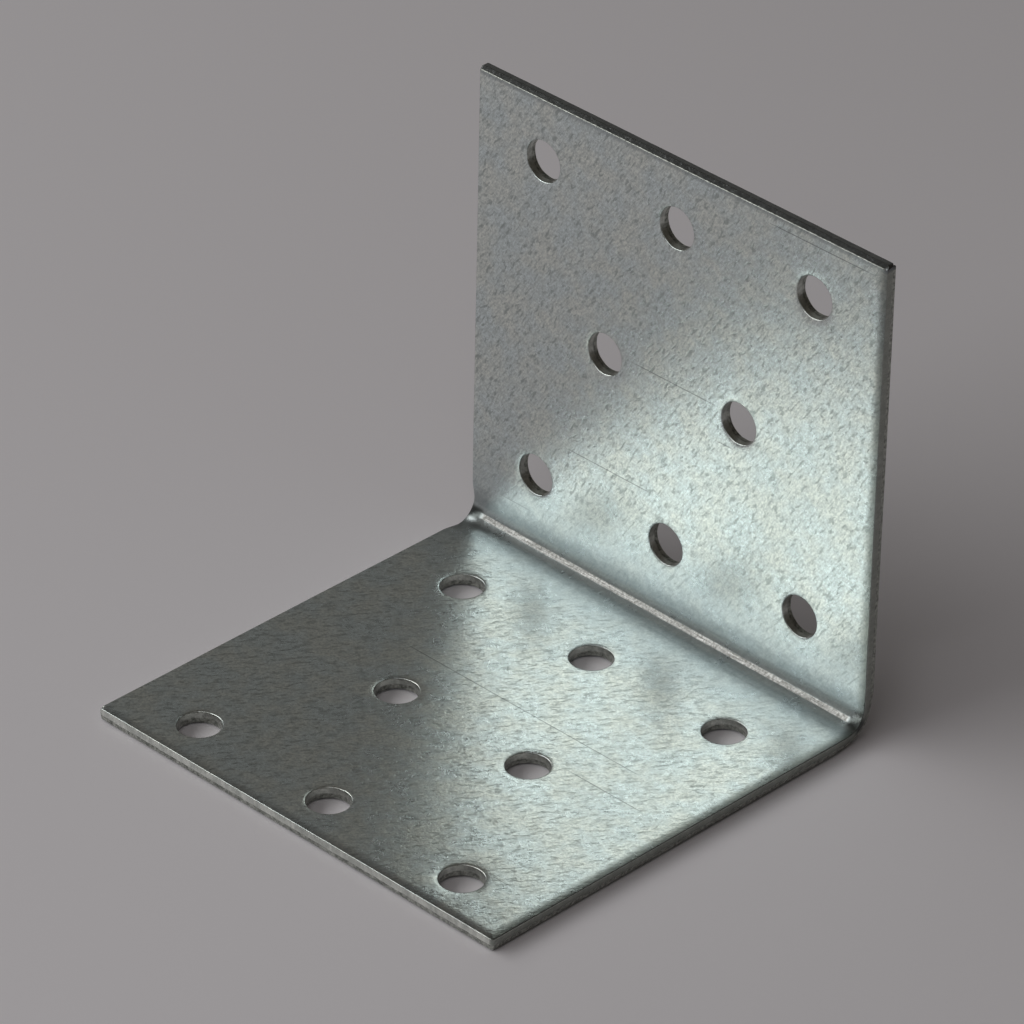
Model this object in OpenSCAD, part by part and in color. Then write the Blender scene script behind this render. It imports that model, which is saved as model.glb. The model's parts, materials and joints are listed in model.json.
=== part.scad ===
// Corner brace bracket: one strip of galvanised sheet steel, sheared to size, punched
// with a 3-2-3 field of holes in each leg and folded once to a right angle.
// +X runs along the fold, the base leg reaches out to -Y and the upright leg stands
// at +Y. The origin is the middle of the footprint, on the underside of the base leg.

/* [Strip] */
// Thickness of the sheet
sheet_t = 1.5; // [1.2:0.1:2]
// Width of the strip, measured along the fold
strip_w = 60; // [50:0.5:100]
// Radius of the four outside corners
corner_r = 0.4; // [0.2:0.1:3]

/* [Legs] */
// Length of the base leg, from the back of the upright to the free end
base_leg = 58.3; // [40:0.1:90]
// Height of the upright leg, from the underside to the free end
upright_leg = 59; // [40:0.1:90]
// Inside radius of the fold
fold_r = 2.5; // [1.5:0.1:4]

/* [Holes] */
// Diameter of a hole at its smooth land
hole_d = 5; // [3:0.1:7]
// Spacing of the holes, along a row and from row to row
hole_pitch = 20; // [12:0.5:30]
// Distance from the back of the upright to the first row in the base leg
base_row = 12.8; // [10:0.1:20]
// Distance from the underside to the first row in the upright leg
upright_row = 11.1; // [10:0.1:20]
// Least metal left between a hole and a free edge
hole_edge = 2; // [1:0.5:6]

/* [Cut edges] */
// Depth of the smooth part of a cut, below the face that the tool entered
smooth_depth = 0.9; // [0.8:0.05:1.1]
// Radius rolled over where the shear entered an outer edge
edge_roll = 0.6; // [0.2:0.1:0.8]
// How far the broken part of an outer edge leans back
edge_lean = 0.3; // [0.05:0.05:0.4]
// Radius rolled over where the punch entered a hole
hole_roll = 0.15; // [0.05:0.05:0.4]
// How far the broken part of a hole widens, on its radius
hole_lean = 0.1; // [0.05:0.05:0.2]

/* [Hidden] */
$fn = 96;
galvanised = "#a6b0ae";

// How far a cutter runs past the metal that it cuts
over = 1;
// The bend: its outer radius, and the flat length of each leg beyond it
outer_r = fold_r + sheet_t;
base_flat = base_leg - outer_r;
upright_flat = upright_leg - outer_r;
// Outer face of the upright
back_y = base_leg / 2;
// Least distance from a hole's centre to a free edge
hole_reach = hole_d / 2 + hole_edge;

// How many rows fit in a leg, and how many holes on each side of a full row's middle one
function rows_in(leg, first) = 1 + floor((leg - first - hole_reach) / hole_pitch);
side_holes = floor((strip_w / 2 - hole_reach) / hole_pitch);
// Places across the strip: a full row has a hole in the middle, the next straddles it
full_row = [for (i = [-side_holes:side_holes]) i * hole_pitch];
gap_row = [for (i = [1:1:2 * side_holes]) (i - side_holes - 0.5) * hole_pitch];

// Waste at a cut edge: x is the depth below the face that the tool entered, and y points
// out of the metal. The metal is rolled over at first, then upright, and then leans back
module cut_waste(roll, lean) {
    lean_rate = lean / (sheet_t - smooth_depth);
    difference() {
        translate([-over, -roll]) square([roll + over, roll + over]);
        translate([roll, -roll]) circle(r = roll);
    }
    polygon([
        [smooth_depth, 0],
        [sheet_t + over, -lean - over * lean_rate],
        [sheet_t + over, over],
        [smooth_depth, over]
    ]);
}

// Section across the strip: x is the depth below the inner face and y runs across it.
// One side was sheared from the inner face and the other side from the outer face
module strip_section() {
    difference() {
        translate([0, -strip_w / 2]) square([sheet_t, strip_w]);
        translate([0, strip_w / 2]) cut_waste(edge_roll, edge_lean);
        translate([sheet_t, -strip_w / 2]) rotate(180) cut_waste(edge_roll, edge_lean);
    }
}

// The section at its distance from the fold's axis
module section_at_fold() {
    translate([fold_r, 0]) strip_section();
}

// A flat length of the strip, running to -Y from the fold
module flat_run(run) {
    rotate([90, 0, 0]) linear_extrude(run) section_at_fold();
}

// The shear's cut across the whole strip, with the free end at y = 0 and its waste at +Y
module end_cut() {
    reach = strip_w / 2 + over;
    translate([0, 0, -reach]) linear_extrude(2 * reach) cut_waste(edge_roll, edge_lean);
}

// The strip about the fold's axis, which is Z here: base leg, fold, upright leg, less
// the waste at both free ends
module folded_strip() {
    difference() {
        union() {
            flat_run(base_flat);
            rotate_extrude(angle = 90) section_at_fold();
            rotate(90) translate([0, upright_flat, 0]) flat_run(upright_flat);
        }
        translate([fold_r, -base_flat, 0]) mirror([0, 1, 0]) end_cut();
        rotate(90) translate([outer_r, upright_flat, 0]) mirror([1, 0, 0]) end_cut();
    }
}

// One punched hole, entered from z = 0 and broken out at the back of the sheet
module punched_hole() {
    rotate_extrude() {
        translate([0, -sheet_t - over]) square([hole_d / 2, sheet_t + 2 * over]);
        translate([hole_d / 2, 0]) mirror([1, 1, 0]) cut_waste(hole_roll, hole_lean);
    }
}

// Waste outside a rounded corner of the strip, whose sharp point would be at the origin
module corner_waste() {
    translate([-corner_r, -corner_r, -sheet_t - over])
        linear_extrude(sheet_t + 2 * over)
            difference() {
                square(corner_r + over);
                circle(r = corner_r);
            }
}

// What is punched and nipped out of one leg. X runs along the fold, y leads away from it
// along the inner face, which is at z = 0, and the outside of the fold is at y = 0
module leg_cuts(leg, first_row) {
    for (row = [0:rows_in(leg, first_row) - 1])
        for (x = row % 2 == 0 ? full_row : gap_row)
            translate([x, first_row + row * hole_pitch, 0]) punched_hole();
    for (side = [0, 1])
        mirror([side, 0, 0]) translate([strip_w / 2, leg, 0]) corner_waste();
}

module bracket() {
    color(galvanised)
    difference() {
        translate([0, back_y - outer_r, outer_r]) rotate([0, 90, 0]) folded_strip();
        translate([0, back_y, sheet_t]) rotate(180) leg_cuts(base_leg, base_row);
        translate([0, back_y - sheet_t, 0]) rotate([90, 0, 0])
            leg_cuts(upright_leg, upright_row);
    }
}

bracket();
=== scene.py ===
import json
import math

import bpy
import numpy as np
from mathutils import Matrix, Vector, noise
from mathutils.geometry import delaunay_2d_cdt


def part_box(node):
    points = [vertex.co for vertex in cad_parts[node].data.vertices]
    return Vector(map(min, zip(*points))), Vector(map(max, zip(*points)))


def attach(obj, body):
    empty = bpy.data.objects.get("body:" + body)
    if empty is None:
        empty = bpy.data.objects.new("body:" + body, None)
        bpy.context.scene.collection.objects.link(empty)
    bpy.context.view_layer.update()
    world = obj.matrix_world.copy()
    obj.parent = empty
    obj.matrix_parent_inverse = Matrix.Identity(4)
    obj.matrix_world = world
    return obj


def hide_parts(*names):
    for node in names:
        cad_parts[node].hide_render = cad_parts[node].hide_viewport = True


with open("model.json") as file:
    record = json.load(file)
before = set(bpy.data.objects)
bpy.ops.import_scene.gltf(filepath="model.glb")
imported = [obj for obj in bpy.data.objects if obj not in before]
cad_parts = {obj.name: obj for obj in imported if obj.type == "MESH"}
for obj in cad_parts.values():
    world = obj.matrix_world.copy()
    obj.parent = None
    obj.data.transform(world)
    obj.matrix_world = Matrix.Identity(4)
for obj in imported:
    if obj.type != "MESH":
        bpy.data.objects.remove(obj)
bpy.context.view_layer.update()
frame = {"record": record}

LOW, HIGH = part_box("bracket")
MOUNTS = {mount["name"]: mount for mount in frame["record"]["mounts"]}

# ---------------------------------------------------------------- the sheet, in millimetres

M_TO_MM = 1000.0
SHEET_T = 1.5        # thickness
FOLD_R = 2.5         # inside radius of the fold
CORNER_R = 0.4       # the strip's four outside corners
LEAST_CORNER_R = 0.12    # and what is left of them, in from the edge
HALF_ARC = FOLD_R * math.pi / 4
WIDTH = (HIGH.x - LOW.x) * M_TO_MM
BACK_Y = HIGH.y * M_TO_MM
FOLD_Y = BACK_Y - SHEET_T - FOLD_R
FOLD_Z = SHEET_T + FOLD_R
# The flat pattern: x runs across the strip and s along it, with s = 0 in the middle of the
# fold, the base leg at s < 0 and the upright leg at s > 0. d is the depth below the inner face
FRONT_S = -HALF_ARC - (FOLD_Y - LOW.y * M_TO_MM)
TOP_S = HALF_ARC + (HIGH.z * M_TO_MM - FOLD_Z)
MID_S = (FRONT_S + TOP_S) / 2
HOLE_R = MOUNTS["base_corner_holes"]["dims"]["hole_r_mm"]


def smooth(low, high, value):
    """0 below low, 1 above high and an even curve between them."""
    t = np.clip((value - low) / (high - low), 0, 1)
    return t * t * (3 - 2 * t)


def wander(points, size, seed):
    """Even noise about 0 at each point of the flat pattern, with bumps of about that size."""
    return np.array([noise.noise(Vector((x / size, s / size, seed))) for x, s in points])


def hole_centres():
    """Where the holes are on the flat pattern, from the record's bolt patterns."""
    found = []
    for name, mount in MOUNTS.items():
        if mount["kind"] != "bolt_pattern":
            continue
        x, y, z = (M_TO_MM * v for v in mount["pos_m"])
        mid_s = y - FOLD_Y - HALF_ARC if name.startswith("base") else z - FOLD_Z + HALF_ARC
        across = mount["dims"].get("spacing_x_mm", 0) / 2
        along = mount["dims"].get("spacing_y_mm", 0) / 2
        places = {(x + i * across, mid_s + j * along) for i in (-1, 1) for j in (-1, 1)}
        found += sorted(places)
    return found


def fold(x, s, d):
    """Points of the flat pattern, bent into the bracket, as an array of x, y and z."""
    angle = np.clip((s + HALF_ARC) / FOLD_R, 0, math.pi / 2)
    out_along_base = np.maximum(0, -s - HALF_ARC)
    up_the_upright = np.maximum(0, s - HALF_ARC)
    y = FOLD_Y + (FOLD_R + d) * np.sin(angle) - out_along_base
    z = FOLD_Z - (FOLD_R + d) * np.cos(angle) + up_the_upright
    return np.column_stack([x, y, z])


# ---------------------------------------------------------------- mesh of the folded sheet

EDGE_STEP = 0.45     # spacing of the vertices along an edge
FOLD_STEP = 0.18     # and where the edge goes round the fold
FACE_STEP = 0.62     # spacing of the vertices in the inner face
BACK_STEP = 1.1      # and in the outer face
EDGE_FRAME = 1.25    # how far in from the edges the face's own grid starts
HOLE_FRAME = 1.45    # how far out from a hole's wall the face's own grid starts
HOLE_SIDES = 72
CORNER_STEPS = 5
SHARP_ANGLE = math.radians(38)


class SheetMesh:
    """Gathers vertices on the flat pattern, with what the material needs to know of each."""

    def __init__(self):
        self.points, self.bare, self.broken, self.faces = [], [], [], []

    def add(self, x, s, d, bare=0.0, broken=0.0):
        """Adds points and returns their numbers. bare is 1 where a tool cut through the
        zinc, and broken is 1 where the steel tore instead of shearing."""
        first = len(self.points)
        block = np.broadcast_arrays(np.atleast_1d(x), s, d, bare, broken)
        for x1, s1, d1, bare1, broken1 in zip(*block):
            self.points.append((x1, s1, d1))
            self.bare.append(bare1)
            self.broken.append(broken1)
        return list(range(first, len(self.points)))

    def bridge(self, ring_a, ring_b):
        """A closed band of quads between two rings with as many points each."""
        count = len(ring_a)
        for i in range(count):
            j = (i + 1) % count
            self.faces.append((ring_a[i], ring_a[j], ring_b[j], ring_b[i]))

    def fill(self, outline, holes, step_across, rows, depth, flip):
        """Triangles inside an outline ring and outside the hole rings, at one depth."""
        rings = [outline] + [ring for ring, _ in holes]
        numbers = [n for ring in rings for n in ring]
        flat = [Vector(self.points[n][:2]) for n in numbers]
        edges, first = [], 0
        for ring in rings:
            count = len(ring)
            edges += [(first + i, first + (i + 1) % count) for i in range(count)]
            first += count
        reach_x = max(p.x for p in flat)
        low_s, high_s = min(p.y for p in flat), max(p.y for p in flat)
        clear = step_across * 0.6
        columns = round(2 * reach_x / step_across)
        grid = [(x, s) for s in rows if low_s + clear < s < high_s - clear
                for x in np.linspace(-reach_x, reach_x, columns + 1)[1:-1]]
        grid = np.array(grid)
        for ring, centre in holes:
            radius = math.dist(self.points[ring[0]][:2], centre)
            grid = grid[np.hypot(*(grid - centre).T) > radius + clear]
        numbers += self.add(grid[:, 0], grid[:, 1], depth)
        flat += [Vector(p) for p in grid]
        _, _, triangles, origin, _, _ = delaunay_2d_cdt(flat, edges, [], 0, 1e-5, True)
        inner_share = math.cos(math.pi / HOLE_SIDES)
        cut_out = [(Vector(centre), math.dist(self.points[ring[0]][:2], centre) * inner_share)
                   for ring, centre in holes]
        for triangle in triangles:
            corners = [origin[v][0] for v in triangle]
            middle = sum((flat[c] for c in corners), Vector((0, 0))) / 3
            if not any((middle - centre).length < reach for centre, reach in cut_out):
                face = [numbers[c] for c in corners]
                self.faces.append(tuple(reversed(face)) if flip else tuple(face))


def outline(inset):
    """The strip's outline on the flat pattern, that far in from its edges: x, s and, for each
    point, how much of its cut was entered from the outer face (0 or 1, blended at corners)."""
    radius = np.maximum(CORNER_R - inset, LEAST_CORNER_R)
    reach_x, reach_s = WIDTH / 2 - inset - radius, (TOP_S - FRONT_S) / 2 - inset - radius
    across = np.linspace(-1, 1, round(WIDTH / EDGE_STEP) + 1)
    length = TOP_S - FRONT_S
    flat_steps = round((length / 2 - HALF_ARC) / EDGE_STEP)
    fold_steps = round(2 * HALF_ARC / FOLD_STEP)
    low, high = (-HALF_ARC - MID_S) * 2 / length, (HALF_ARC - MID_S) * 2 / length
    along = np.concatenate([np.linspace(-1, low, flat_steps)[:-1],
                            np.linspace(low, high, fold_steps)[:-1],
                            np.linspace(high, 1, flat_steps)])
    turn = np.linspace(0, math.pi / 2, CORNER_STEPS + 2)[1:-1]
    # Each side as: its points along the edge, the way that it faces, the angle at which the
    # corner after it starts, and its own cut and the next side's
    sides = [(across * reach_x, -1, -math.pi / 2, 0, 0), (along * reach_s, 1, 0, 0, 1),
             (-across * reach_x, 1, math.pi / 2, 1, 1), (-along * reach_s, -1, math.pi, 1, 0)]
    x, s, entered_outside = [], [], []
    for number, (run, side, start, cut, next_cut) in enumerate(sides):
        if number % 2 == 0:
            x += list(run)
            s += [side * (reach_s + radius)] * len(run)
        else:
            x += [side * (reach_x + radius)] * len(run)
            s += list(run)
        corner_x = reach_x if number in (0, 1) else -reach_x
        corner_s = reach_s if number in (1, 2) else -reach_s
        x += list(corner_x + radius * np.cos(start + turn))
        s += list(corner_s + radius * np.sin(start + turn))
        share = turn / (math.pi / 2)
        entered_outside += [cut] * len(run) + list(cut + (next_cut - cut) * smooth(0, 1, share))
    return np.array(x), np.array(s) + MID_S, np.array(entered_outside)


# At a sheared edge the metal is drawn down in a shallow curve that ends in a crisp arris.
# Below it the cut is clean, and at last the metal tore off
ROLL_WIDTH = 1.15    # how far in from the edge the curve starts
ROLL_POWER = 1.9     # and how sharply it ends
ARRIS = 0.05
ARRIS_DROP = 0.02
SHEARED_TO = 0.92    # depth of the clean cut
TEAR = 0.1           # how unevenly it ends
# How far the metal is drawn down and how far the torn part leans back: on the right and
# front edges, which the shear entered from the inner face, and on the left and top edges
RIGHT_FRONT = (0.15, 0.07)
LEFT_TOP = (0.2, 0.3)


def edge_rows(drawn, lean):
    """Rows of (how far in from the edge, depth, bare, broken), from the face that the shear
    entered to the other face."""
    rows = [(EDGE_FRAME, 0.0, 0, 0)]
    for inset in (ROLL_WIDTH, 1.0, 0.85, 0.7, 0.56, 0.43, 0.31, 0.21, 0.13, ARRIS):
        rows.append((inset, drawn * (1 - inset / ROLL_WIDTH) ** ROLL_POWER, 0, 0))
    rows.append((ARRIS * 0.35, drawn + ARRIS_DROP, 0.5, 0))
    for depth in (drawn + ARRIS + ARRIS_DROP, 0.36, 0.52, 0.7, SHEARED_TO):
        rows.append((0.0, depth, 1, 0))
    for share in (0.1, 0.35, 0.6, 0.82, 0.96):
        rows.append((lean * share, SHEARED_TO + (SHEET_T - SHEARED_TO) * share, 1, 1))
    for inset in (0.33, 0.4, 0.6, 0.9, EDGE_FRAME):
        rows.append((inset, SHEET_T, 0, 0))
    return np.array(rows)


# The punch dished the metal round each hole and left a rounded mouth. Below it the hole's
# wall is scored, and at last the metal tore off
HOLE_ARRIS = 0.13    # radius of the mouth
MOUTH_DEPTH = 0.085  # where it starts
DISH_DEPTH, DISH_WIDTH, DISH_START = 0.07, 0.4, 0.17
SCORED = 0.45        # how much the wall looks torn
TORN_FROM, TORN_DEPTH, TORN_LEAN = 0.83, 0.65, 0.04
HOLE_TEAR, HOLE_RAGGED = 0.14, 0.05    # how uneven the tear is, down the wall and outwards


def hole_rows():
    """Rows of (how far out from the wall, depth, bare, broken), from the inner face to the
    outer face."""
    rows = [(HOLE_FRAME, 0.0, 0, 0)]
    for out in (1.2, 1.0, 0.8, 0.62, 0.47, 0.35, 0.25, DISH_START):
        rows.append((out, DISH_DEPTH * math.exp(-(out - DISH_START) / DISH_WIDTH), 0, 0))
    for turn in (15, 35, 55, 75):
        sweep = math.radians(turn)
        rows.append((HOLE_ARRIS * (1 - math.sin(sweep)),
                     MOUTH_DEPTH + HOLE_ARRIS * (1 - math.cos(sweep)), turn > 60, 0))
    for depth in (0.25, 0.36, 0.5, 0.65, 0.8):
        rows.append((0.0, depth, 1, SCORED))
    for share in (0.12, 0.4, 0.7, 0.95):
        rows.append((TORN_LEAN * share, TORN_FROM + TORN_DEPTH * share, 1, 1))
    for out in (0.16, 0.3, 0.6, 1.0, HOLE_FRAME):
        rows.append((out, SHEET_T, 0, 0))
    return np.array(rows)


def build_edges(mesh):
    """The cut edges all round the strip. Returns the rings that frame the two faces."""
    entered_inside = edge_rows(*RIGHT_FRONT)
    entered_outside = edge_rows(*LEFT_TOP)[::-1] * [1, -1, 1, 1] + [0, SHEET_T, 0, 0]
    x, s, _ = outline(0.0)
    around = np.column_stack([x, s])
    uneven = wander(around, 1.3, 4.0) + 0.5 * wander(around, 0.5, 9.0)
    rings = []
    for row_in, row_out in zip(entered_inside, entered_outside):
        _, _, blend = outline(row_in[0])
        inset, depth, bare, broken = (row_in[i] + (row_out[i] - row_in[i]) * blend
                                      for i in range(4))
        in_the_cut = np.where((depth > 0.01) & (depth < SHEET_T - 0.01), bare, 0)
        mid_depth = 1 - np.abs(2 * depth / SHEET_T - 1)
        depth = depth + TEAR * uneven * in_the_cut * mid_depth
        x = np.empty_like(inset)
        s = np.empty_like(inset)
        for value in np.unique(np.round(inset, 4)):
            pick = np.round(inset, 4) == value
            x_all, s_all, _ = outline(value)
            x[pick], s[pick] = x_all[pick], s_all[pick]
        rings.append(mesh.add(x, s, depth, bare, broken))
    for ring_a, ring_b in zip(rings, rings[1:]):
        mesh.bridge(ring_b, ring_a)
    return rings[0], rings[-1]


def build_hole(mesh, centre, seed):
    """One punched hole. Returns the rings that frame it in the two faces."""
    angle = np.linspace(0, 2 * math.pi, HOLE_SIDES, endpoint=False)
    circle = np.column_stack([np.cos(angle), np.sin(angle)])
    uneven = wander(circle * 2.2 + seed, 1.0, 2.0)
    rings = []
    for out, depth, bare, broken in hole_rows():
        radius = HOLE_R + out + HOLE_RAGGED * uneven * broken
        deep = depth + HOLE_TEAR * uneven * (1 if 0.4 < depth < 1.2 else 0)
        x, s = (centre + circle * radius[:, None]).T
        rings.append(mesh.add(x, s, deep, bare, broken))
    for ring_a, ring_b in zip(rings, rings[1:]):
        mesh.bridge(ring_a, ring_b)
    return rings[0], rings[-1]


# The nose of the press tool left a narrow flat along the fold, neither quite in the middle
# nor quite straight. The fold turns sharply at both sides of it, and then more evenly into
# the legs
TOOL_MARK = 0.27     # half its width
TOOL_MARK_ENDS = (-27.6, 28.3)
TOOL_MARK_TURN = math.radians(18)
TURN_POWER = 1.25
MARK_MIDDLE, MARK_SLANT = 0.12, -0.006
BEND_ROWS = 67       # rows of vertices round the fold


def from_tool_mark(x, s):
    """How far a place in the fold is from the mark, fading out into the legs."""
    in_fold = 1 - smooth(HALF_ARC * 0.6, HALF_ARC, np.abs(s))
    return s - (MARK_MIDDLE + MARK_SLANT * x) * in_fold


def face_rows(step):
    """Where the face's rows of vertices lie along the strip, closer together at the fold."""
    upright = np.arange(HALF_ARC + step, TOP_S, step)
    base = -np.arange(HALF_ARC + step, -FRONT_S, step)
    bend = np.linspace(-HALF_ARC, HALF_ARC, BEND_ROWS)
    return sorted(np.concatenate([upright, base, bend]))


def tool_mark_depth(s):
    """How far the fold's inner face lies below a true arc, from the way that it turns."""
    run = np.linspace(-HALF_ARC, HALF_ARC, 401)
    share = np.clip((np.abs(run) - TOOL_MARK) / (HALF_ARC - TOOL_MARK), 0, 1)
    turn = TOOL_MARK_TURN + (math.pi / 4 - TOOL_MARK_TURN) * share ** TURN_POWER
    turn = np.where(np.abs(run) < TOOL_MARK, 0, turn) * np.sign(run)
    slope = -np.tan(turn - run / FOLD_R)
    depth = np.concatenate([[0], np.cumsum((slope[1:] + slope[:-1]) / 2 * np.diff(run))])
    return np.interp(s, run, depth, 0, 0)


# How far the sheet is from true
BOW, RIPPLE = 0.05, 0.012    # long and short waves
DRAWN_IN = 0.25      # of the stretched outer side, at the ends of the fold
CURL = 0.5           # of the inner side, at the fold's left end
THINNED = 0.07       # at the fold


def settle(x, s, d):
    """Places on the flat pattern, moved to where the real sheet has them: new x and d."""
    points = np.column_stack([x, s])
    lift = BOW * (wander(points, 24.0, 7.0) + 0.6) + RIPPLE * (wander(points, 7.0, 3.0) + 1)
    near_fold = 1 - smooth(HALF_ARC * 0.5, HALF_ARC + 2.2, np.abs(s))
    near_end = smooth(WIDTH / 2 - 4.5, WIDTH / 2, np.abs(x))
    drawn_in = DRAWN_IN * d / SHEET_T * near_fold * near_end
    curl = CURL * (np.clip(-x - WIDTH / 2 + 2, 0, 2) / 2) ** 2 * near_fold
    thinned = THINNED * np.exp(-np.abs(s) / 5.0)
    sunk = (curl + thinned) * (1 - d / SHEET_T)
    start, end = TOOL_MARK_ENDS
    marked = smooth(start - 0.4, start + 0.2, x) * (1 - smooth(end - 0.2, end + 0.4, x))
    mark_depth = tool_mark_depth(from_tool_mark(x, s)) * marked * (d < 0.01)
    return x - np.sign(x) * drawn_in, d - lift + sunk + mark_depth


def build_bracket():
    mesh = SheetMesh()
    inner, outer = build_edges(mesh)
    inner_holes, outer_holes = [], []
    for number, centre in enumerate(hole_centres()):
        ring_in, ring_out = build_hole(mesh, centre, 7.0 * number)
        inner_holes.append((ring_in, centre))
        outer_holes.append((ring_out, centre))
    mesh.fill(inner, inner_holes, FACE_STEP, face_rows(FACE_STEP), 0.0, flip=False)
    mesh.fill(outer, outer_holes, BACK_STEP, face_rows(BACK_STEP), SHEET_T, flip=True)

    x, s, d = np.array(mesh.points).T
    x_real, d_real = settle(x, s, d)
    data = bpy.data.meshes.new("folded_bracket")
    data.from_pydata((fold(x_real, s, d_real) / M_TO_MM).tolist(), [], mesh.faces)
    data.shade_smooth()
    data.set_sharp_from_angle(angle=SHARP_ANGLE)
    for name, kind, values in (("sheet_place", "FLOAT_VECTOR", np.column_stack([x, s, d])),
                               ("bare", "FLOAT", np.array(mesh.bare)),
                               ("broken", "FLOAT", np.array(mesh.broken))):
        attribute = data.attributes.new(name, kind, "POINT")
        field = "vector" if kind == "FLOAT_VECTOR" else "value"
        attribute.data.foreach_set(field, values.astype(np.float32).ravel())
    piece = bpy.data.objects.new("folded_bracket", data)
    bpy.context.scene.collection.objects.link(piece)
    return piece


# ---------------------------------------------------------------- materials

ZINC_BLUE, ZINC_CREAM = (0.785, 0.875, 0.885, 1), (0.87, 0.90, 0.84, 1)
ZINC_SPOT, ZINC_FLECK = (0.52, 0.57, 0.56, 1), (0.49, 0.53, 0.52, 1)
ZINC_GRAIN, ZINC_PIT = (0.46, 0.50, 0.49, 1), (0.33, 0.37, 0.36, 1)
ZINC_SCRATCH = (0.2, 0.22, 0.22, 1)
# Painted shade towards the fold, and a painted dark reflection in a band beside the press
# tool's mark
FOLD_SHADE, MARK_FLANK_SHADE = (0.50, 0.56, 0.57, 1), (0.20, 0.23, 0.24, 1)
# Painted shade on the rolled-over right, front and top edges, for the dark room that they
# reflect
RIGHT_ROLL_SHADE, FRONT_ROLL_SHADE = (0.17, 0.185, 0.17, 1), (0.2, 0.22, 0.23, 1)
TOP_ARRIS_SHADE = (0.3, 0.33, 0.34, 1)
MARK_DARK, MARK_BRIGHT = (0.24, 0.245, 0.235, 1), (0.80, 0.81, 0.79, 1)
# The second of these is painted shade, nearly black, at the fold's ends past the press tool's
# mark
MARK_FLECK, FOLD_END_SHADE = (0.15, 0.15, 0.14, 1), (0.06, 0.068, 0.065, 1)
STEEL, STEEL_BRIGHT = (0.66, 0.69, 0.65, 1), (0.93, 0.96, 0.90, 1)
# The second of these is painted shade for the right cut edge
STEEL_PATCH, RIGHT_CUT_SHADE = (0.42, 0.46, 0.42, 1), (0.20, 0.215, 0.19, 1)
TORN_DARK, TORN_BRIGHT = (0.17, 0.185, 0.165, 1), (0.58, 0.60, 0.55, 1)
# Painted shade for the top edge, on zinc and clean steel and on torn steel
TOP_EDGE_SHADE, TORN_TOP_EDGE_SHADE = (0.17, 0.18, 0.19, 1), (0.13, 0.14, 0.15, 1)

MARK_ROUGH, CLEAN_ROUGH, TORN_ROUGH = 0.5, 0.26, 0.36
RELIEF_STRENGTH, RELIEF_M = 0.65, 0.00005

# The grain of the zinc lies at this angle to the fold, on the flat pattern
GRAIN_ANGLE = math.radians(55)

# Fine scratches that lie along the fold, as (from x, to x, s, half the width), in millimetres
SCRATCHES = ((-16, 20, -23.6, 0.05), (13.5, 25, -28.4, 0.05), (-6, 7, 29.9, 0.05),
             (6.5, 9.7, 25.6, 0.06), (-15.5, -2, 14.7, 0.05), (13, 28.5, 55.4, 0.05),
             (-25.5, -20, 4.1, 0.06), (21, 25, -48.2, 0.05))


class Nodes:
    """Short ways to wire a material."""

    def __init__(self, name):
        self.material = bpy.data.materials.new(name)
        self.material.use_nodes = True
        self.tree = self.material.node_tree
        self.shader = self.tree.nodes["Principled BSDF"]

    def new(self, kind, **settings):
        node = self.tree.nodes.new("ShaderNode" + kind)
        for name, value in settings.items():
            setattr(node, name, value)
        return node

    def link(self, source, target):
        self.tree.links.new(source, target)

    def put(self, value, socket):
        if isinstance(value, bpy.types.NodeSocket):
            self.link(value, socket)
        else:
            socket.default_value = value

    def math(self, operation, a, b=0.0, c=0.0):
        node = self.new("Math", operation=operation)
        for value, socket in zip((a, b, c), node.inputs):
            self.put(value, socket)
        return node.outputs[0]

    def attribute(self, name, output="Fac"):
        return self.new("Attribute", attribute_name=name).outputs[output]

    def noise(self, vector, scale, detail=2.0, roughness=0.5, distortion=0.0):
        node = self.new("TexNoise")
        self.link(vector, node.inputs["Vector"])
        node.inputs["Scale"].default_value = scale
        node.inputs["Detail"].default_value = detail
        node.inputs["Roughness"].default_value = roughness
        node.inputs["Distortion"].default_value = distortion
        return node.outputs["Fac"]

    def axes(self, vector, stretch, turn=0.0, shift=0.0):
        """Axes turned about Z, along which a pattern is drawn out by the stretch."""
        node = self.new("Mapping", vector_type="TEXTURE")
        self.link(vector, node.inputs["Vector"])
        node.inputs["Rotation"].default_value = (0, 0, turn)
        node.inputs["Scale"].default_value = stretch
        node.inputs["Location"].default_value = (shift, 0, 0)
        return node.outputs["Vector"]

    def ramp(self, value, low, high, to_low=0.0, to_high=1.0):
        node = self.new("MapRange", interpolation_type="SMOOTHSTEP")
        self.put(value, node.inputs["Value"])
        for name, number in (("From Min", low), ("From Max", high),
                             ("To Min", to_low), ("To Max", to_high)):
            node.inputs[name].default_value = number
        return node.outputs["Result"]

    def mix(self, share, a, b):
        node = self.new("Mix", data_type="RGBA")
        self.put(share, node.inputs["Factor"])
        self.put(a, node.inputs[6])
        self.put(b, node.inputs[7])
        return node.outputs[2]

    def blend(self, share, a, b):
        node = self.new("Mix", data_type="FLOAT")
        self.put(share, node.inputs[0])
        self.put(a, node.inputs[2])
        self.put(b, node.inputs[3])
        return node.outputs[0]


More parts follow.
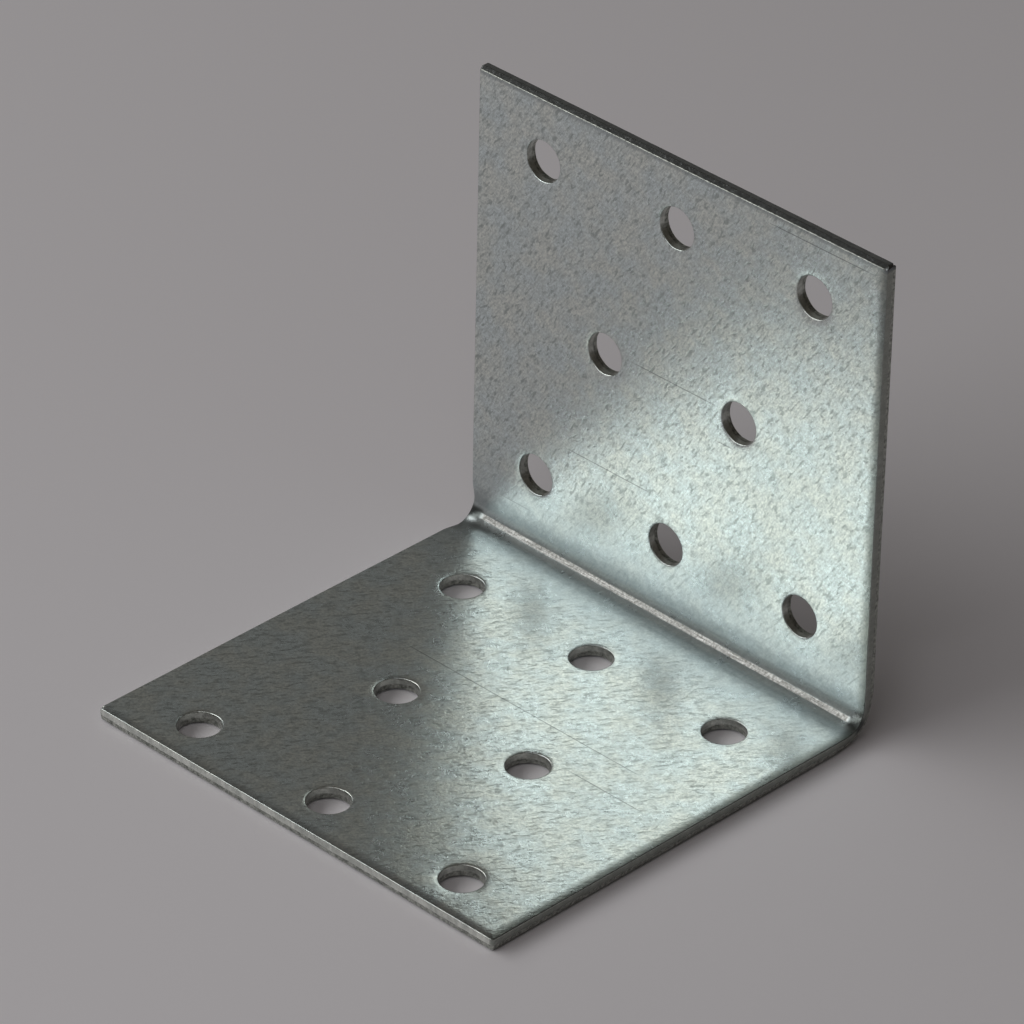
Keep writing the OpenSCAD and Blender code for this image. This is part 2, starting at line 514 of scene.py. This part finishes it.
class SheetNodes(Nodes):
    """The sheet's material, with the places and patterns that its layers share."""

    def __init__(self, name):
        super().__init__(name)
        self.place = self.attribute("sheet_place", "Vector")
        self.bare, self.broken = self.attribute("bare"), self.attribute("broken")
        parts = self.new("SeparateXYZ")
        self.link(self.place, parts.inputs[0])
        self.across, self.along, self.depth = parts.outputs
        self.inner_side = self.ramp(self.depth, 0.4, 0.7, 1.0, 0.0)
        self.from_fold = self.math("ABSOLUTE", self.math("SUBTRACT", self.along, self.math(
            "MULTIPLY_ADD", self.across, MARK_SLANT, MARK_MIDDLE)))

        # Fine spots and grain, slow clouds and short pits that lie with the grain
        self.mottle = self.noise(self.place, 0.85, 5.0, 0.7)
        self.speckle = self.noise(self.place, 3.4, 3.0, 0.65)
        self.grain = self.noise(self.axes(self.place, (3.0, 0.9, 1.0), GRAIN_ANGLE),
                                3.3, 3.0, 0.65)
        self.cloud = self.noise(self.place, 0.22, 3.0, 0.55)
        dashes = self.noise(self.axes(self.place, (1.9, 0.7, 1.0), GRAIN_ANGLE, shift=40),
                            1.45, 3.0, 0.62, 0.4)
        self.pits = self.math("MULTIPLY", self.ramp(dashes, 0.33, 0.48, 1.0, 0.0),
                              self.by_leg(0.55, 0.95))

    def by_leg(self, base, upright):
        """One value on the base leg and another on the upright leg."""
        return self.ramp(self.along, -1.5, 1.5, base, upright)


def scratches(n):
    """1 in a scratch, broken up along it, and 0 elsewhere."""
    found = 0.0
    for start, end, s, half in SCRATCHES:
        wide = n.math("ABSOLUTE", n.math("SUBTRACT", n.along, s))
        line = n.math("MULTIPLY", n.ramp(wide, half * 0.4, half * 1.6, 1.0, 0.0),
                      n.ramp(n.across, start - 0.5, start + 2.0))
        line = n.math("MULTIPLY", line, n.ramp(n.across, end - 2.0, end + 0.5, 1.0, 0.0))
        found = n.math("MAXIMUM", found, line)
    return found


def zinc_colour(n):
    """Spots, grain, pits and scratches over slow clouds of tint."""
    zinc = n.mix(n.ramp(n.cloud, 0.35, 0.65), ZINC_BLUE, ZINC_CREAM)
    zinc = n.mix(n.ramp(n.mottle, 0.34, 0.60, 0.36, 0.0), zinc, ZINC_SPOT)
    zinc = n.mix(n.ramp(n.speckle, 0.36, 0.60, 0.5, 0.0), zinc, ZINC_FLECK)
    grained = n.math("MULTIPLY", n.ramp(n.grain, 0.36, 0.58, 1.0, 0.0), n.by_leg(0.4, 0.55))
    zinc = n.mix(grained, zinc, ZINC_GRAIN)
    zinc = n.mix(n.math("MULTIPLY", n.pits, 0.75), zinc, ZINC_PIT)
    scratched = n.math("MULTIPLY", scratches(n), n.math("MULTIPLY", n.inner_side, 0.85))
    return n.mix(scratched, zinc, ZINC_SCRATCH)


def paint_fold_shade(n, zinc):
    """Painted shade: the zinc's colour darkens towards the fold, where the crease lies in
    shade, and a painted dark reflection makes it darkest in an uneven band beside the press
    tool's mark."""
    zinc = n.mix(n.ramp(n.from_fold, 1.5, 13.0, 0.62, 0.0), zinc, FOLD_SHADE)
    uneven = n.math("ADD", n.from_fold,
                    n.math("MULTIPLY", n.math("SUBTRACT", n.mottle, 0.5), 3.0))
    # Painted dark reflection in an uneven band beside the mark
    flank_shade = n.math("MULTIPLY", n.ramp(n.from_fold, 0.7, 1.25, 0.35, 1.0),
                         n.ramp(uneven, 1.3, 4.3, 0.6, 0.0))
    return n.mix(flank_shade, zinc, MARK_FLANK_SHADE)


def paint_edge_shade(n, zinc):
    """Painted shade: the zinc is darkened where the sheet is rolled over at the right and front
    edges, and greyed at the arris of the top edge, for the dark room that these reflect.
    """
    right = WIDTH / 2
    zinc = n.mix(n.ramp(n.across, right - 1.5, right - 0.1, 0.0, 0.8), zinc, RIGHT_ROLL_SHADE)
    zinc = n.mix(n.ramp(n.along, FRONT_S, FRONT_S + 1.3, 0.35, 0.0), zinc, FRONT_ROLL_SHADE)
    return n.mix(n.ramp(n.along, TOP_S - 1.0, TOP_S - 0.5, 0.0, 0.6), zinc, TOP_ARRIS_SHADE)


def press_mark(n):
    """The flat that the press tool left in the fold, worn and streaked along it: how far a
    place belongs to it, and its colour."""
    start, end = TOOL_MARK_ENDS
    ragged = n.math("ADD", n.from_fold, n.math("MULTIPLY", n.mottle, 0.06))
    share = n.math("MULTIPLY", n.inner_side,
                   n.ramp(ragged, TOOL_MARK + 0.02, TOOL_MARK + 0.10, 1.0, 0.0))
    share = n.math("MULTIPLY", share, n.ramp(n.across, start - 0.3, start + 0.3))
    share = n.math("MULTIPLY", share, n.ramp(n.across, end - 0.3, end + 0.3, 1.0, 0.0))
    streaks = n.noise(n.axes(n.place, (5.0, 0.09, 1.0)), 1.0, 4.0, 0.75)
    worn = n.mix(n.ramp(streaks, 0.35, 0.65), MARK_DARK, MARK_BRIGHT)
    return share, n.mix(n.ramp(n.speckle, 0.3, 0.66, 0.85, 0.0), worn, MARK_FLECK)


def paint_fold_end_shade(n):
    """Painted shade: the fold is made nearly black where it goes on past both ends of that
    flat, down into the cut edges.
    """
    start, end = TOOL_MARK_ENDS
    past = n.math("ADD", n.ramp(n.across, start - 0.5, start + 0.1, 1.0, 0.0),
                  n.ramp(n.across, end - 0.1, end + 0.4))
    share = n.math("MULTIPLY", past, n.ramp(n.from_fold, 0.35, 1.0, 0.9, 0.0))
    return n.math("MULTIPLY", share, n.ramp(n.depth, 0.8, 1.2, 1.0, 0.0))


def clean_steel(n):
    """Steel that was sheared, with streaks down the cut. Painted shade darkens it at the right
    edge, which reflects the floor in shadow behind.
    """
    right = WIDTH / 2
    streaks = n.noise(n.axes(n.place, (0.7, 0.7, 2.5)), 1.0, 4.0, 0.65)
    patches = n.noise(n.place, 0.6, 4.0, 0.65)
    steel = n.mix(n.ramp(streaks, 0.3, 0.7), STEEL, STEEL_BRIGHT)
    steel = n.mix(n.ramp(patches, 0.4, 0.62, 0.0, 0.5), steel, STEEL_PATCH)
    return n.mix(n.ramp(n.across, right - 0.6, right - 0.1, 0.0, 0.75), steel, RIGHT_CUT_SHADE)


def torn_steel(n):
    crumbs = n.noise(n.place, 2.5, 4.0, 0.65)
    return n.mix(n.ramp(crumbs, 0.3, 0.7), TORN_DARK, TORN_BRIGHT)


def relief(n):
    """How high the surface stands, for the bump. The pits beside the fold were pressed flat."""
    pit_depth = n.math("MULTIPLY", n.by_leg(-0.8, -0.4), n.ramp(n.from_fold, 2.0, 5.0))
    height = n.math("ADD", n.math("MULTIPLY", n.mottle, 0.6), n.math("MULTIPLY", n.grain, 0.6))
    height = n.math("ADD", height, n.math("MULTIPLY", n.speckle, 0.4))
    return n.math("ADD", height, n.math("MULTIPLY", n.pits, pit_depth))


def galvanised_steel():
    n = SheetNodes("galvanised_steel")
    zinc = paint_edge_shade(n, paint_fold_shade(n, zinc_colour(n)))
    clean, torn = clean_steel(n), torn_steel(n)
    # Painted shade: the top edge is darkened all over, standing in for the dark room that it
    # reflects
    top_edge_shade_mask = n.math("MULTIPLY", n.ramp(n.along, TOP_S - 0.9, TOP_S - 0.5),
                     n.ramp(n.depth, 0.02, 0.12))
    zinc = n.mix(n.math("MULTIPLY", top_edge_shade_mask, 0.7), zinc, TOP_EDGE_SHADE)
    clean = n.mix(n.math("MULTIPLY", top_edge_shade_mask, 0.8), clean, TOP_EDGE_SHADE)
    torn = n.mix(n.math("MULTIPLY", top_edge_shade_mask, 0.8), torn, TORN_TOP_EDGE_SHADE)

    marked, worn = press_mark(n)
    colour = n.mix(n.broken, n.mix(n.bare, n.mix(marked, zinc, worn), clean), torn)
    # Painted shade at both ends of the fold
    colour = n.mix(paint_fold_end_shade(n), colour, FOLD_END_SHADE)
    n.link(colour, n.shader.inputs["Base Color"])
    n.shader.inputs["Metallic"].default_value = 1.0

    zinc_rough = n.math("ADD", n.ramp(n.mottle, 0.3, 0.7, 0.295, 0.27),
                        n.ramp(n.cloud, 0.3, 0.7, -0.01, 0.02))
    uncut_rough = n.blend(marked, zinc_rough, MARK_ROUGH)
    rough = n.blend(n.broken, n.blend(n.bare, uncut_rough, CLEAN_ROUGH), TORN_ROUGH)
    n.link(rough, n.shader.inputs["Roughness"])

    bump = n.new("Bump")
    bump.inputs["Strength"].default_value = RELIEF_STRENGTH
    bump.inputs["Distance"].default_value = RELIEF_M
    n.link(relief(n), bump.inputs["Height"])
    n.link(bump.outputs[0], n.shader.inputs["Normal"])
    return n.material


def paper(colour):
    n = Nodes("pale_paper")
    n.shader.inputs["Base Color"].default_value = (*colour, 1)
    n.shader.inputs["Roughness"].default_value = 0.85
    n.shader.inputs["Specular IOR Level"].default_value = 0.2
    return n.material


# ---------------------------------------------------------------- the studio

CENTRE = (LOW + HIGH) / 2
FLOOR_REACH = 3.0
FLOOR_LEVEL = -0.0002    # the burrs under the sheet keep it this far off the paper
PAPER = (0.89, 0.865, 0.90)
CAMERA_AZIMUTH, CAMERA_ELEVATION, CAMERA_ROLL = 44.03, 32.19, 1.28    # degrees
CAMERA_DISTANCE = 0.7925
CAMERA_LENS = 262.6
# What the camera aims at, from the middle of the part
AIM = Vector((0.0022, 0.0011, -0.0016))


def build_floor():
    data = bpy.data.meshes.new("floor")
    corners = [(-1, -1), (1, -1), (1, 1), (-1, 1)]
    data.from_pydata([(x * FLOOR_REACH, y * FLOOR_REACH, FLOOR_LEVEL) for x, y in corners],
                     [], [(0, 1, 2, 3)])
    data.materials.append(paper(PAPER))
    floor = bpy.data.objects.new("floor", data)
    bpy.context.scene.collection.objects.link(floor)


def direction(azimuth, elevation):
    """The way a camera at that azimuth and elevation looks, in degrees."""
    a, e = math.radians(azimuth), math.radians(elevation)
    return Vector((-math.sin(a) * math.cos(e), math.cos(a) * math.cos(e), -math.sin(e)))


def build_camera():
    view = direction(CAMERA_AZIMUTH, CAMERA_ELEVATION)
    roll = Matrix.Rotation(math.radians(CAMERA_ROLL), 3, "Z")
    data = bpy.data.cameras.new("camera")
    data.lens = CAMERA_LENS
    camera = bpy.data.objects.new("camera", data)
    bpy.context.scene.collection.objects.link(camera)
    turn = view.to_track_quat("-Z", "Y").to_matrix() @ roll
    camera.matrix_world = (Matrix.Translation(CENTRE + AIM - view * CAMERA_DISTANCE)
                           @ turn.to_4x4())
    data.clip_start, data.clip_end = 0.01, 20
    bpy.context.scene.camera = camera


def softbox(name, azimuth, elevation, distance, size, radiance, colour):
    """An area lamp, placed by the way that it shines and as bright as asked for."""
    shine = direction(azimuth, elevation)
    data = bpy.data.lights.new(name, "AREA")
    data.shape = "RECTANGLE"
    data.size, data.size_y = size
    data.energy = radiance * math.pi * size[0] * size[1]
    data.color = colour
    lamp = bpy.data.objects.new(name, data)
    bpy.context.scene.collection.objects.link(lamp)
    lamp.matrix_world = (Matrix.Translation(CENTRE - shine * distance)
                         @ shine.to_track_quat("-Z", "Y").to_matrix().to_4x4())


def build_lights():
    softbox("window", -50, 32, 1.1, (1.75, 0.44), radiance=2.6, colour=(1.0, 1.0, 0.985))
    softbox("room", -136, 30, 1.2, (1.4, 0.7), radiance=0.096, colour=(0.96, 1.0, 1.0))
    softbox("front_top", 20, 55, 0.39, (0.25, 0.25), radiance=0.75, colour=(1.0, 0.99, 1.0))
    world = bpy.data.worlds.new("world")
    world.use_nodes = True
    background = world.node_tree.nodes["Background"]
    background.inputs["Color"].default_value = (1.0, 0.88, 0.78, 1)
    background.inputs["Strength"].default_value = 0.056
    bpy.context.scene.world = world


# ---------------------------------------------------------------- the scene

build_camera()
bracket = build_bracket()
bracket.data.materials.append(galvanised_steel())
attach(bracket, "root")
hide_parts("bracket")
build_floor()
build_lights()
bpy.context.scene.view_settings.view_transform = "Standard"
